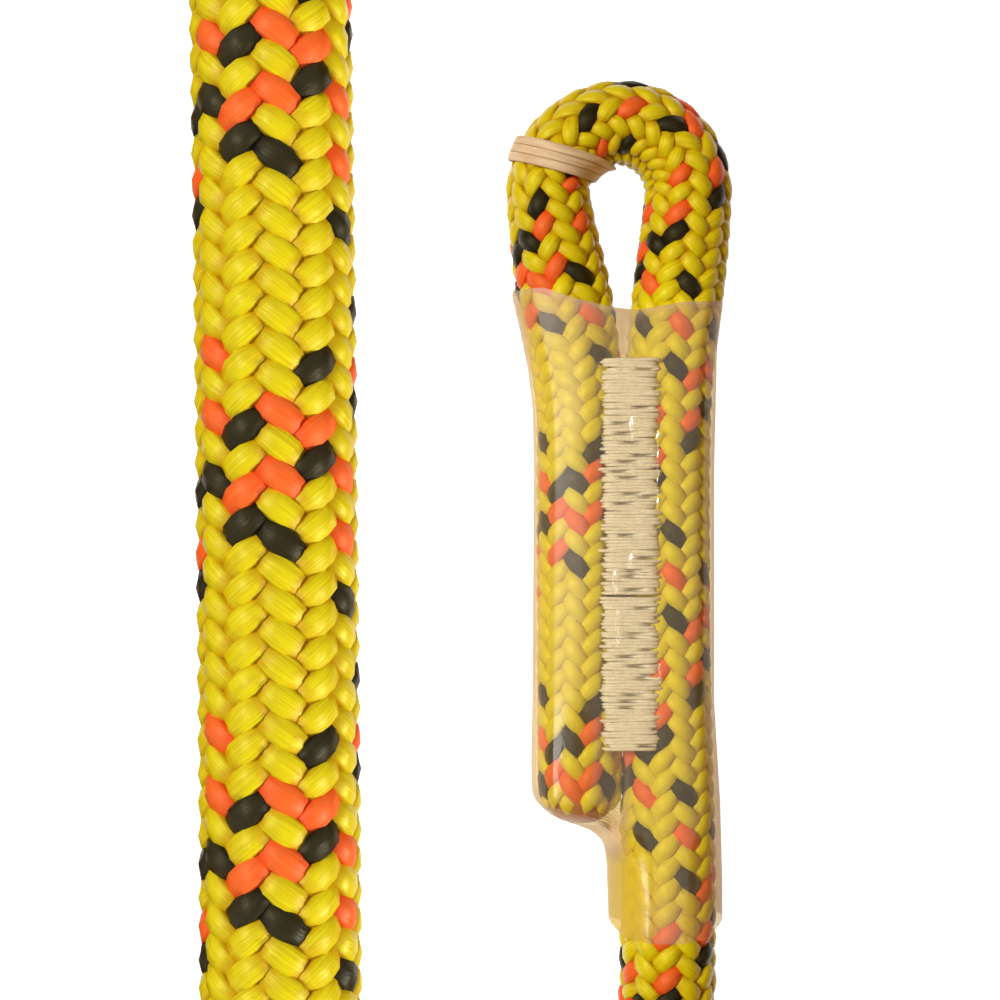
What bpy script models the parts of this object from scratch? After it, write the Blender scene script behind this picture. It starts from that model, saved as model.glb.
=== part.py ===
"""A rappelling rope with a sewn eye, lying in the middle of its own coil.

The eye lies flat on the ground at z = 0. The rope leaves its sleeve, winds up
as a coil round it, and its free end crosses over the top of the coil.
"""

import math

import bmesh
import bpy
from mathutils import Matrix, Vector
from mathutils.geometry import interpolate_bezier

MM = 0.001

# Rope
ROPE_DIAMETER = 12.0 * MM
SHEATH_WALL = 1.5 * MM
CORE_STRAND_DIAMETER = 1.9 * MM
CORE_STRANDS_ROUND_THE_MIDDLE = 6
CLEARANCE = 0.3 * MM

# Eye: stitched and bent tightly, so the rope there is narrower than it is free
EYE_SQUEEZE_ACROSS = 1.5 * MM
EYE_SQUEEZE_UP = 0.6 * MM
CROWN_RADIUS = 8.66 * MM
CROWN_CENTRE_Y = 38.0 * MM
CROWN_SHIFT_X = -0.7 * MM
CROWN_LEFT_END = math.radians(187)
CROWN_RIGHT_END = math.radians(-4)
LEG_MIDDLE_X = 15.3 * MM
LEG_TOP_Y = 8.0 * MM
LEG_BEND_PULL = 0.385
SHORT_LEG_END_Y = -34.6 * MM
SHORT_SEAL_LENGTH = 5.0 * MM
SHORT_SEAL_LAST_ANGLE = math.radians(74)

# Heat-shrink sleeve
SLEEVE_WALL = 0.4 * MM
SLEEVE_TOP_Y = 25.0 * MM
SLEEVE_END_Y = -54.6 * MM
FLARE_LENGTH = 18.0 * MM
FLARE_LEFT = 2.8 * MM
FLARE_RIGHT = 1.4 * MM
SHOULDER_LENGTH = 7.0 * MM

# Stitching: two blocks of thread that bridge the seam between the legs
STITCH_WIDTH = 7.0 * MM
UPPER_STITCH_TOP_Y = 17.3 * MM
UPPER_STITCH_LENGTH = 28.7 * MM
STITCH_BLOCK_GAP = 0.5 * MM
LOWER_STITCH_LENGTH = 19.1 * MM
STITCH_STAND = 0.3 * MM
STITCH_SEAT_GAP = 0.22 * MM
STITCH_EDGE = 0.1 * MM
STITCH_DEPTH_LIMIT = 3.0 * MM

# Keeper band round the crown of the eye
BAND_WIDTH = 3.25 * MM
BAND_WALL = 0.5 * MM
BAND_ANGLE = math.radians(163.5)
BAND_PASSES_AXIS_AT = 2.0 * MM
BAND_TILT = 0.9 * MM

# Coil: flat spiral layers on top of each other, a rope diameter apart
COIL_FIRST_RADIUS = 96.0 * MM
COIL_LAYERS = 7
COIL_TURNS_ACROSS = 3
BULGE_ANGLES = (-45, 0, 45)

# How finely round shapes are cut into faces
COIL_SEGMENTS = 48
SECTION_SIDES = 20
SLEEVE_SIDES = 32
CORE_SIDES = 6
CROWN_STEPS = 12
BEND_STEPS = 6
SEAL_STEPS = 5
FLARE_STEPS = 5
SHOULDER_STEPS = 10
STITCH_STEPS = 12
BAND_STEPS = 4
CURVE_STEPS = 24
CORD_BEVEL_RESOLUTION = 3
CORD_POINT_STEP = 15.0 * MM

EYE_WIDTH = ROPE_DIAMETER - EYE_SQUEEZE_ACROSS
EYE_HEIGHT = ROPE_DIAMETER - EYE_SQUEEZE_UP
COIL_INNER = COIL_FIRST_RADIUS - ROPE_DIAMETER / 2
COIL_OUTER = COIL_INNER + COIL_TURNS_ACROSS * ROPE_DIAMETER
COIL_TOP = COIL_LAYERS * ROPE_DIAMETER
GROUND_LINE = ROPE_DIAMETER / 2
EYE_Z = ROPE_DIAMETER / 2 + CLEARANCE + SLEEVE_WALL
OVER_COIL = COIL_TOP + CLEARANCE + ROPE_DIAMETER / 2
LEG_SPACING = EYE_WIDTH + CLEARANCE
SHORT_LEG_X = LEG_MIDDLE_X - LEG_SPACING / 2
LONG_LEG_X = LEG_MIDDLE_X + LEG_SPACING / 2
LONG_LEG_END_Y = SLEEVE_END_Y
CROWN_CENTRE = Vector((LEG_MIDDLE_X + CROWN_SHIFT_X, CROWN_CENTRE_Y, EYE_Z))

# Route of the standing part, from the sleeve to the coil's first turn (mm). The last number is
# the height over the line of a rope that lies on the ground.
STANDING_ROUTE = [
    (20.7, -54.9, 0.8),
    (20.5, -62.0, 0.7),
    (17.9, -70.6, 0.4),
    (11.6, -81.0, 0.1),
    (1.4, -88.6, 0.0),
    (-11.0, -93.3, 0.0),
]

# Route of the free end, from the coil's last turn over the eye and back onto the coil (mm). The
# last number is the height over the line of a rope that lies on top of the coil.
CROSSING_ROUTE = [
    (112.4, -40.9, -12.3),
    (105.1, -55.9, -10.3),
    (95.1, -69.1, -5.7),
    (83.1, -80.2, -1.5),
    (69.6, -89.0, 0.0),
    (53.4, -96.4, 0.0),
    (37.5, -101.3, 0.0),
    (20.1, -103.6, 0.0),
    (3.6, -98.4, 0.0),
    (-8.8, -86.7, -0.1),
    (-15.0, -70.7, -0.4),
    (-16.0, -50.0, -0.9),
    (-16.3, -20.0, -1.2),
    (-16.7, 20.0, -1.2),
    (-17.0, 50.0, -0.9),
    (-16.0, 70.7, -0.4),
    (-9.4, 86.7, -0.1),
    (3.4, 98.4, 0.0),
    (20.1, 103.6, 0.0),
    (37.5, 101.3, 0.0),
    (54.0, 93.5, 0.0),
    (69.4, 82.7, 0.0),
    (85.1, 66.5, 0.0),
    (97.1, 47.3, 0.0),
    (104.8, 26.1, 0.0),
    (107.4, 11.0, 0.0),
]
FREE_SEAL_LENGTH = 3.0 * MM
FREE_SEAL_OUTLINE = ((0.0, 1.0), (0.6, 1.0), (0.9, 0.9), (1.0, 0.7))


def clear_scene():
    for old in list(bpy.data.objects):
        bpy.data.objects.remove(old, do_unlink=True)


def make_material(name, colour, roughness, alpha=1.0):
    material = bpy.data.materials.new(name)
    material.use_nodes = True
    shader = material.node_tree.nodes["Principled BSDF"]
    shader.inputs["Base Color"].default_value = (*colour, 1.0)
    shader.inputs["Roughness"].default_value = roughness
    shader.inputs["Metallic"].default_value = 0.0
    shader.inputs["Alpha"].default_value = alpha
    return material


def make_object(name, bm, material, origin=Vector()):
    bmesh.ops.recalc_face_normals(bm, faces=bm.faces)
    mesh = bpy.data.meshes.new(name)
    bm.to_mesh(mesh)
    bm.free()
    mesh.materials.append(material)
    mesh.shade_smooth()
    mesh.set_sharp_from_angle(angle=math.radians(40))
    made = bpy.data.objects.new(name, mesh)
    made.location = origin
    bpy.context.collection.objects.link(made)
    return made


def smooth_step(share):
    share = min(max(share, 0.0), 1.0)
    return share * share * (3 - 2 * share)


def in_metres(route, resting_height):
    """The route's points in metres, with their heights counted from resting_height."""
    return [Vector(point) * MM + Vector((0, 0, resting_height)) for point in route]


def smooth_route(route, step):
    """Points about one step apart on a smooth curve through the route's points."""
    ends = [2 * route[0] - route[1], *route, 2 * route[-1] - route[-2]]
    fine = []
    for before, start, end, after in zip(ends, ends[1:], ends[2:], ends[3:]):
        leave = start + (end - before) / 6
        arrive = end - (after - start) / 6
        fine += interpolate_bezier(start, leave, arrive, end, CURVE_STEPS)[:-1]
    fine.append(route[-1])
    travelled = [0.0]
    for start, end in zip(fine, fine[1:]):
        travelled.append(travelled[-1] + (end - start).length)
    count = round(travelled[-1] / step)
    points = []
    at = 0
    for index in range(count + 1):
        target = travelled[-1] * index / count
        while at < len(fine) - 2 and travelled[at + 1] < target:
            at += 1
        share = (target - travelled[at]) / (travelled[at + 1] - travelled[at])
        points.append(fine[at].lerp(fine[at + 1], share))
    return points


def eye_centreline():
    """The eye's route: up the short leg, round the crown, down the long leg."""
    crown = []
    for index in range(CROWN_STEPS + 1):
        angle = CROWN_LEFT_END + (CROWN_RIGHT_END - CROWN_LEFT_END) * index / CROWN_STEPS
        crown.append(CROWN_CENTRE + CROWN_RADIUS * Vector((math.cos(angle), math.sin(angle), 0)))
    left = leg_to_crown(SHORT_LEG_X, crown[0], CROWN_LEFT_END)
    right = leg_to_crown(LONG_LEG_X, crown[-1], CROWN_RIGHT_END)
    start = Vector((SHORT_LEG_X, SHORT_LEG_END_Y, EYE_Z))
    last = Vector((LONG_LEG_X, LONG_LEG_END_Y, EYE_Z))
    widening = Vector((LONG_LEG_X, SHORT_LEG_END_Y, EYE_Z))
    return [start, *left, *crown, *reversed(right), widening, last]


def leg_to_crown(leg_x, joint, angle):
    """The bend from a leg's straight part to the crown, without the crown's own end point."""
    low = Vector((leg_x, LEG_TOP_Y, EYE_Z))
    reach = (joint.y - low.y) * LEG_BEND_PULL
    along = Vector((math.sin(angle), -math.cos(angle), 0))
    if along.y < 0:
        along.negate()
    return interpolate_bezier(
        low, low + Vector((0, reach, 0)), joint - reach * along, joint, BEND_STEPS + 1
    )[:-1]


def stations_along(points):
    """A frame at each point: place, sideways direction in the eye's plane."""
    stations = []
    for index, point in enumerate(points):
        before = points[max(index - 1, 0)]
        after = points[min(index + 1, len(points) - 1)]
        along = (after - before).normalized()
        stations.append((point, Vector((along.y, -along.x, 0))))
    return stations


def add_ring(bm, sides, centre, sideways, half_width, half_height):
    """An oval ring of edges, upright across the rope."""
    along = Vector((0, 0, 1)).cross(sideways)
    frame = Matrix((sideways * half_width, Vector((0, 0, half_height)), along)).transposed()
    place = Matrix.Translation(centre) @ frame.to_4x4()
    made = bmesh.ops.create_circle(bm, segments=sides, radius=1.0, matrix=place)
    return made["verts"]


def bridge(bm, first, second):
    """Faces between two rings that have the same number of sides."""
    for a, b, c, d in zip(first, first[1:] + first[:1], second[1:] + second[:1], second):
        bm.faces.new((a, b, c, d))


def bridge_all(bm, rings):
    for first, second in zip(rings, rings[1:]):
        bridge(bm, first, second)


def cap(bm, ring):
    bm.faces.new(ring)


def rope_half_size(point):
    """The sheath's half width and half height, which grow to the free rope's at the sleeve's mouth."""
    is_long_leg = point.x > LEG_MIDDLE_X
    share = 0.0
    if is_long_leg and point.y < SHORT_LEG_END_Y:
        share = (point.y - SHORT_LEG_END_Y) / (LONG_LEG_END_Y - SHORT_LEG_END_Y)
    half_width = (EYE_WIDTH + share * (ROPE_DIAMETER - EYE_WIDTH)) / 2
    half_height = (EYE_HEIGHT + share * (ROPE_DIAMETER - EYE_HEIGHT)) / 2
    return half_width, half_height


def make_eye_sheath(material):
    bm = bmesh.new()
    outer = []
    inner = []
    for centre, sideways in stations_along(eye_centreline()):
        wide, high = rope_half_size(centre)
        outer.append(add_ring(bm, SECTION_SIDES, centre, sideways, wide, high))
        inside = (wide - SHEATH_WALL, high - SHEATH_WALL)
        inner.append(add_ring(bm, SECTION_SIDES, centre, sideways, *inside))
    bridge_all(bm, outer)
    bridge_all(bm, inner)
    bridge(bm, outer[0], inner[0])
    bridge(bm, outer[-1], inner[-1])
    return make_object("eye_sheath", bm, material)


def core_offsets():
    """Where the core strands lie across the rope, as shares of the room inside the sheath."""
    room_wide = EYE_WIDTH / 2 - SHEATH_WALL - CLEARANCE - CORE_STRAND_DIAMETER / 2
    room_high = EYE_HEIGHT / 2 - SHEATH_WALL - CLEARANCE - CORE_STRAND_DIAMETER / 2
    offsets = [(0.0, 0.0)]
    for index in range(CORE_STRANDS_ROUND_THE_MIDDLE):
        angle = 2 * math.pi * index / CORE_STRANDS_ROUND_THE_MIDDLE
        offsets.append((room_wide * math.cos(angle), room_high * math.sin(angle)))
    return offsets


def make_core_strands(material):
    radius = CORE_STRAND_DIAMETER / 2
    for number, (across, up) in enumerate(core_offsets(), start=1):
        bm = bmesh.new()
        rings = []
        for centre, sideways in stations_along(eye_centreline()):
            place = centre + across * sideways + Vector((0, 0, up))
            rings.append(add_ring(bm, CORE_SIDES, place, sideways, radius, radius))
        bridge_all(bm, rings)
        cap(bm, rings[0])
        cap(bm, rings[-1])
        make_object(f"core_strand_{number}", bm, material)


def make_short_end_seal(material):
    """The fused end of the short leg: a blunt dome under the sleeve's shoulder."""
    bm = bmesh.new()
    rings = []
    for index in range(SEAL_STEPS + 1):
        angle = SHORT_SEAL_LAST_ANGLE * index / SEAL_STEPS
        centre = Vector((SHORT_LEG_X, SHORT_LEG_END_Y - CLEARANCE, EYE_Z))
        centre.y -= math.sin(angle) * (SHORT_SEAL_LENGTH - CLEARANCE)
        half = (math.cos(angle) * EYE_WIDTH / 2, math.cos(angle) * EYE_HEIGHT / 2)
        rings.append(add_ring(bm, SECTION_SIDES, centre, Vector((1, 0, 0)), *half))
    bridge_all(bm, rings)
    cap(bm, rings[0])
    cap(bm, rings[-1])
    return make_object("short_end_seal", bm, material)


def sleeve_sides(y, inset):
    """The sleeve's left and right edges at y, seen from above, moved in by inset."""
    snug = CLEARANCE + SLEEVE_WALL - inset
    left = SHORT_LEG_X - EYE_WIDTH / 2 - snug
    right = LONG_LEG_X + EYE_WIDTH / 2 + snug
    flare = max(0.0, y - (SLEEVE_TOP_Y - FLARE_LENGTH)) / FLARE_LENGTH
    left -= FLARE_LEFT * flare * flare
    right += FLARE_RIGHT * flare * flare
    shoulder_top = SHORT_LEG_END_Y - SHORT_SEAL_LENGTH / 2 + inset
    drop = smooth_step((shoulder_top - y) / SHOULDER_LENGTH)
    narrow_left = LONG_LEG_X - ROPE_DIAMETER / 2 - snug
    left += (narrow_left - left) * drop
    swell = smooth_step((SHORT_LEG_END_Y / 2 - y) / (SHORT_LEG_END_Y / 2 - shoulder_top))
    right += (ROPE_DIAMETER - EYE_WIDTH) / 2 * swell
    return left, right


def add_sleeve_ring(bm, y, inset):
    """A flat-sided oval round both legs, or round the long leg below the shoulder."""
    left, right = sleeve_sides(y, inset)
    half_height = EYE_Z - inset
    centre = Vector(((left + right) / 2, y, EYE_Z))
    half_width = (right - left) / 2
    sideways = Vector((1, 0, 0))
    end_radius = min(half_width, half_height)
    ring = add_ring(bm, SLEEVE_SIDES, centre, sideways, end_radius, half_height)
    for vert in ring:
        shift = vert.co.x - centre.x
        is_on_a_side = abs(shift) > end_radius / SLEEVE_SIDES
        if is_on_a_side:
            vert.co.x += math.copysign(half_width - end_radius, shift)
    return ring


def sleeve_heights():
    """The places along the sleeve where its outline needs a ring."""
    flare_start = SLEEVE_TOP_Y - FLARE_LENGTH
    heights = [SLEEVE_TOP_Y - FLARE_LENGTH * index / FLARE_STEPS for index in range(FLARE_STEPS + 1)]
    shoulder_top = SHORT_LEG_END_Y - SHORT_SEAL_LENGTH / 2 + SLEEVE_WALL
    heights.append((flare_start + shoulder_top) / 2)
    step = (SHOULDER_LENGTH + SLEEVE_WALL) / SHOULDER_STEPS
    heights += [shoulder_top - step * index for index in range(SHOULDER_STEPS + 1)]
    heights.append(SLEEVE_END_Y)
    return heights


def make_sleeve(material):
    bm = bmesh.new()
    outer = [add_sleeve_ring(bm, y, 0.0) for y in sleeve_heights()]
    inner = [add_sleeve_ring(bm, y, SLEEVE_WALL) for y in sleeve_heights()]
    bridge_all(bm, outer)
    bridge_all(bm, inner)
    bridge(bm, outer[0], inner[0])
    bridge(bm, outer[-1], inner[-1])
    return make_object("shrink_sleeve", bm, material)


def leg_surface(across):
    """How high a leg's surface stands over the eye's middle plane, at a distance from the seam."""
    from_leg = abs(across) - LEG_SPACING / 2
    share = from_leg / (EYE_WIDTH / 2)
    return EYE_HEIGHT / 2 * math.sqrt(max(0.0, 1 - share * share))


def make_stitching(name, top_y, length, side, material):
    """A block of thread that fills the valley over the seam, on the front (side 1) or back (-1)."""
    crest = EYE_HEIGHT / 2 + STITCH_STAND
    half = STITCH_WIDTH / 2
    outline = [(half, crest), (-half, crest)]
    for index in range(STITCH_STEPS + 1):
        across = -half + STITCH_WIDTH * index / STITCH_STEPS
        seat = max(leg_surface(across) + STITCH_SEAT_GAP, crest - STITCH_DEPTH_LIMIT)
        outline.append((across, min(seat, crest - STITCH_EDGE)))
    bm = bmesh.new()
    verts = []
    for across, up in outline:
        verts.append(bm.verts.new((LEG_MIDDLE_X + across, top_y, EYE_Z + side * up)))
    face = bm.faces.new(verts)
    grown = bmesh.ops.extrude_face_region(bm, geom=[face])
    moved = [item for item in grown["geom"] if isinstance(item, bmesh.types.BMVert)]
    bmesh.ops.translate(bm, verts=moved, vec=(0, -length, 0))
    return make_object(name, bm, material)


def make_all_stitching(material):
    lower_top_y = UPPER_STITCH_TOP_Y - UPPER_STITCH_LENGTH - STITCH_BLOCK_GAP
    for face_name, side in (("front", 1), ("back", -1)):
        upper = (UPPER_STITCH_TOP_Y, UPPER_STITCH_LENGTH, side)
        lower = (lower_top_y, LOWER_STITCH_LENGTH, side)
        make_stitching(f"upper_stitching_{face_name}", *upper, material)
        make_stitching(f"lower_stitching_{face_name}", *lower, material)


def make_keeper_band(material):
    """A band round the rope, nearly straight seen from above, and tilted from top to bottom. Each
    point stays on a ring round the crown, so the band can slide."""
    bm = bmesh.new()
    walls = []
    for gap in (CLEARANCE + BAND_WALL, CLEARANCE):
        rings = []
        for index in range(BAND_STEPS + 1):
            side = -1 + 2 * index / BAND_STEPS
            half_size = (EYE_WIDTH / 2 + gap, EYE_HEIGHT / 2 + gap)
            ring = add_ring(bm, SECTION_SIDES, Vector(), Vector((1, 0, 0)), *half_size)
            for vert in ring:
                across = vert.co.x
                reach = CROWN_RADIUS + across
                angle = BAND_ANGLE - math.asin(min(BAND_PASSES_AXIS_AT / reach, 1.0))
                angle += BAND_TILT / reach * vert.co.z / half_size[1]
                angle += side * BAND_WIDTH / 2 / reach
                vert.co = (reach * math.cos(angle), reach * math.sin(angle), vert.co.z)
            rings.append(ring)
        bridge_all(bm, rings)
        walls.append(rings)
    bridge(bm, walls[0][0], walls[1][0])
    bridge(bm, walls[0][-1], walls[1][-1])
    return make_object("keeper_band", bm, material, CROWN_CENTRE)


def add_cord(name, points, diameter, material):
    """A rope-shaped tube along the points, as a curve."""
    curve = bpy.data.curves.new(name, "CURVE")
    curve.dimensions = "3D"
    curve.bevel_depth = diameter / 2
    curve.bevel_resolution = CORD_BEVEL_RESOLUTION
    curve.use_fill_caps = True
    spline = curve.splines.new("POLY")
    spline.points.add(len(points) - 1)
    for slot, point in zip(spline.points, points):
        slot.co = (*point, 1.0)
    curve.materials.append(material)
    made = bpy.data.objects.new(name, curve)
    bpy.context.collection.objects.link(made)
    return made


def coil_outline():
    """The coil's section from its axis outwards: a flat foot and top, and bulging sides, one bulge a layer."""
    radius = ROPE_DIAMETER / 2
    bulge = [math.radians(angle) for angle in BULGE_ANGLES]
    outline = []
    for layer in range(COIL_LAYERS):
        middle = GROUND_LINE + layer * ROPE_DIAMETER
        for angle in bulge:
            reach = COIL_OUTER - radius + radius * math.cos(angle)
            outline.append((reach, middle + radius * math.sin(angle)))
    outline.append((COIL_OUTER - radius, COIL_TOP))
    inner_side = []
    for reach, height in outline:
        inner_side.append((COIL_INNER + COIL_OUTER - reach, height))
    outline.insert(0, (COIL_OUTER - radius, 0.0))
    inner_side.insert(0, (COIL_INNER + radius, 0.0))
    return outline + inner_side[::-1]


def make_coil(material):
    bm = bmesh.new()
    outline = coil_outline()
    verts = [bm.verts.new((reach, 0, height)) for reach, height in outline]
    edges = [bm.edges.new((a, b)) for a, b in zip(verts, verts[1:] + verts[:1])]
    bmesh.ops.spin(
        bm,
        geom=verts + edges,
        cent=(0, 0, 0),
        axis=(0, 0, 1),
        angle=2 * math.pi,
        steps=COIL_SEGMENTS,
        use_merge=True,
    )
    return make_object("spare_coil", bm, material)


def cut_groove(coil, name, points, material):
    """Leaves room in the coil's solid for a length of rope that runs into it."""
    first = points[0] + (points[0] - points[1]).normalized() * CLEARANCE
    last = points[-1] + (points[-1] - points[-2]).normalized() * CLEARANCE
    longer = [first, *points[1:-1], last]
    guide = add_cord(name + "_guide", longer, ROPE_DIAMETER + 2 * CLEARANCE, material)
    bpy.context.view_layer.update()
    mesh = bpy.data.meshes.new_from_object(guide)
    bpy.data.objects.remove(guide, do_unlink=True)
    bm = bmesh.new()
    bm.from_mesh(mesh)
    bmesh.ops.remove_doubles(bm, verts=bm.verts, dist=0.01 * MM)
    cutter = make_object(name, bm, material)
    cutter.hide_render = True
    cutter.display_type = "WIRE"
    groove = coil.modifiers.new(name, "BOOLEAN")
    groove.operation = "DIFFERENCE"
    groove.object = cutter


def make_free_end_seal(end, before, material):
    """The fused free end: a blunt button as thick as the rope."""
    along = (end - before).normalized()
    sideways = Vector((along.y, -along.x, 0)).normalized()
    bm = bmesh.new()
    rings = []
    for share, size in FREE_SEAL_OUTLINE:
        centre = end + along * (CLEARANCE + share * FREE_SEAL_LENGTH)
        half = size * ROPE_DIAMETER / 2
        rings.append(add_ring(bm, SECTION_SIDES, centre, sideways, half, half))
    bridge_all(bm, rings)
    cap(bm, rings[0])
    cap(bm, rings[-1])
    return make_object("free_end_seal", bm, material)


def build():
    clear_scene()
    yellow = make_material("yellow nylon sheath", (0.80, 0.66, 0.02), 0.6)
    white = make_material("white nylon core", (0.85, 0.84, 0.80), 0.6)
    fused = make_material("fused nylon", (0.35, 0.26, 0.02), 0.35)
    thread = make_material("off-white polyester thread", (0.77, 0.65, 0.46), 0.6)
    film = make_material("clear amber heat shrink", (0.58, 0.45, 0.20), 0.2, alpha=0.4)
    rubber = make_material("tan rubber", (0.62, 0.38, 0.18), 0.7)
    make_eye_sheath(yellow)
    make_core_strands(white)
    make_short_end_seal(fused)
    make_sleeve(film)
    make_all_stitching(thread)
    make_keeper_band(rubber)
    standing = smooth_route(in_metres(STANDING_ROUTE, GROUND_LINE), CORD_POINT_STEP / 2)
    crossing = smooth_route(in_metres(CROSSING_ROUTE, OVER_COIL), CORD_POINT_STEP)
    coil = make_coil(yellow)
    cut_groove(coil, "standing_groove", standing, yellow)
    cut_groove(coil, "crossing_groove", crossing, yellow)
    add_cord("standing_part", standing, ROPE_DIAMETER, yellow)
    add_cord("crossing_strand", crossing, ROPE_DIAMETER, yellow)
    make_free_end_seal(crossing[-1], crossing[-2], fused)


build()
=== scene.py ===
# %% [markdown]
# # A rappelling rope with a sewn eye
# The rope lies with its eye in the middle of its own coil, and its free end
# crosses over the coil, close to the camera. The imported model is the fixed
# frame: every piece below is set against its nodes.

# %% Load the frame
import math

import bmesh
import bpy
import numpy as np
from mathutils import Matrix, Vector
from mathutils.geometry import interpolate_bezier


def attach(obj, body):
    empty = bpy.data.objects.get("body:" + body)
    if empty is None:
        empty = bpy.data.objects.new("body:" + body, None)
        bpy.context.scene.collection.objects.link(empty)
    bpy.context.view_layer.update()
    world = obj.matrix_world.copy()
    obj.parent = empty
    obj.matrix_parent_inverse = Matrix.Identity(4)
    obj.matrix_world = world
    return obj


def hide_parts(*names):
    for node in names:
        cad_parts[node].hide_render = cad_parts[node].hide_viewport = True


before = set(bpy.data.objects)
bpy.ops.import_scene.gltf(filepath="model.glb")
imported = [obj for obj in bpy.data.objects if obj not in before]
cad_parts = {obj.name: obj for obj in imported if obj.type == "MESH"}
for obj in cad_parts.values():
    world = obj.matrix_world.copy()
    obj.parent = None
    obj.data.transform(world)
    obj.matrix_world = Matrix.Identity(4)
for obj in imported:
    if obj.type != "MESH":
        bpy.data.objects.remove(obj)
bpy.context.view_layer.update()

MM = 0.001
ROPE_BODY = "rope"
BAND_BODY = "band"

# %% [markdown]
# ## Sizes
# These repeat the construction's own sizes, in millimetres. The braid was
# counted in the photograph: 24 strands, each over two and under two, and a
# strand goes once round the rope in 27.3 mm.

# %% Sizes
ROPE_DIAMETER = 12.0
BRAID_TURN = 27.3
STRANDS_EACH_WAY = 12
PICK = BRAID_TURN / STRANDS_EACH_WAY
EYE_Z = 6.7
CROWN_CENTRE = Vector((14.6, 38.0, EYE_Z))
CROWN_RADIUS = 8.66
CROWN_ENDS = (187.0, -4.0)
SHORT_LEG_X = 9.9
LONG_LEG_X = 20.7
SEAM_X = 15.3
LEG_TOP_Y = 8.0
SHORT_LEG_END_Y = -34.6
SHORT_END_SIZE = (4.4, 4.7, 5.15)

# %% [markdown]
# ## Camera
# The photograph looks straight down. The camera stands far enough above the
# eye that the strand over the coil shows 1.67 times as large as the eye does.

# %% Camera
CAMERA_HEIGHT = 212.0
PIXELS_PER_MM_AT_EYE = 8.08
FRAME_PIXELS = 1000
SENSOR_WIDTH = 36.0
NEAREST_SEEN = 5.0
camera_data = bpy.data.cameras.new("camera")
camera_data.sensor_width = SENSOR_WIDTH
eye_distance = CAMERA_HEIGHT - EYE_Z
camera_data.lens = PIXELS_PER_MM_AT_EYE * eye_distance / FRAME_PIXELS * SENSOR_WIDTH
camera_data.clip_start = NEAREST_SEEN * MM
camera = bpy.data.objects.new("camera", camera_data)
camera.location = (0, 0, CAMERA_HEIGHT * MM)
bpy.context.collection.objects.link(camera)
bpy.context.scene.camera = camera
print("lens:", round(camera_data.lens, 1), "mm")

# %% [markdown]
# ## The rope's route
# A cord needs one smooth line. The stretches that aren't coiled go through
# listed points. The coil is a rule: flat spirals, first outwards and
# then inwards, stacked a rope's diameter apart.

# %% The route of the free rope
STANDING_ROUTE = [
    (20.7, -54.9, 6.8),
    (20.5, -62.0, 6.7),
    (17.9, -70.6, 6.4),
    (11.6, -81.0, 6.1),
    (1.4, -88.6, 6.0),
    (-11.0, -93.3, 6.0),
]
CROSSING_ROUTE = [
    (112.4, -40.9, 78.0),
    (105.1, -55.9, 80.0),
    (95.1, -69.1, 84.6),
    (83.1, -80.2, 88.8),
    (69.6, -89.0, 90.3),
    (53.4, -96.4, 90.3),
    (37.5, -101.3, 90.3),
    (20.1, -103.6, 90.3),
    (3.6, -98.4, 90.3),
    (-8.8, -86.7, 90.2),
    (-15.0, -70.7, 89.9),
    (-16.0, -50.0, 89.4),
    (-16.3, -20.0, 89.1),
    (-16.7, 20.0, 89.1),
    (-17.0, 50.0, 89.4),
    (-16.0, 70.7, 89.9),
    (-9.4, 86.7, 90.2),
    (3.4, 98.4, 90.3),
    (20.1, 103.6, 90.3),
    (37.5, 101.3, 90.3),
    (54.0, 93.5, 90.3),
    (69.4, 82.7, 90.3),
    (85.1, 66.5, 90.3),
    (97.1, 47.3, 90.3),
    (104.8, 26.1, 90.3),
    (107.4, 11.0, 90.3),
]
COIL_FIRST_RADIUS = 96.0
COIL_LAYERS = 7
COIL_START_ANGLE = -106.6
COIL_END_ANGLE = -20.0
COIL_WHOLE_TURNS = 13
CLIMB_ANGLE = 14.0
COIL_STEP_ANGLE = 7.5
CURVE_POINTS = 24
LINE_STEP = 0.5


def smooth_step(share):
    share = min(max(share, 0.0), 1.0)
    return share * share * (3 - 2 * share)


def coil_route():
    """Points round the coil, clockwise seen from above, without its last point."""
    part_turn = (COIL_START_ANGLE - COIL_END_ANGLE) % 360
    whole = 360 * COIL_WHOLE_TURNS + part_turn
    layer_angle = whole / COIL_LAYERS
    count = round(whole / COIL_STEP_ANGLE)
    points = []
    for index in range(count):
        turned = whole * index / count
        layer = min(int(turned / layer_angle), COIL_LAYERS - 1)
        inside = turned - layer * layer_angle
        outwards = inside if layer % 2 == 0 else layer_angle - inside
        radius = COIL_FIRST_RADIUS + ROPE_DIAMETER * outwards / 360
        height = ROPE_DIAMETER * (layer + 0.5)
        to_next = layer_angle - inside
        if to_next < CLIMB_ANGLE and layer < COIL_LAYERS - 1:
            height += ROPE_DIAMETER * smooth_step((CLIMB_ANGLE - to_next) / (2 * CLIMB_ANGLE))
        if inside < CLIMB_ANGLE and layer > 0:
            height -= ROPE_DIAMETER * smooth_step((CLIMB_ANGLE - inside) / (2 * CLIMB_ANGLE))
        angle = math.radians(COIL_START_ANGLE - turned)
        points.append((radius * math.cos(angle), radius * math.sin(angle), height))
    return points


def smooth_line(route):
    """Evenly spaced points on a smooth curve through the route, as an array."""
    knots = [Vector(point) for point in route]
    ends = [2 * knots[0] - knots[1], *knots, 2 * knots[-1] - knots[-2]]
    fine = []
    for before, start, end, after in zip(ends, ends[1:], ends[2:], ends[3:]):
        leave = start + (end - before) / 6
        arrive = end - (after - start) / 6
        fine += interpolate_bezier(start, leave, arrive, end, CURVE_POINTS)[:-1]
    fine.append(knots[-1])
    return even_line(np.array([tuple(point) for point in fine]), LINE_STEP)


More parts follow.
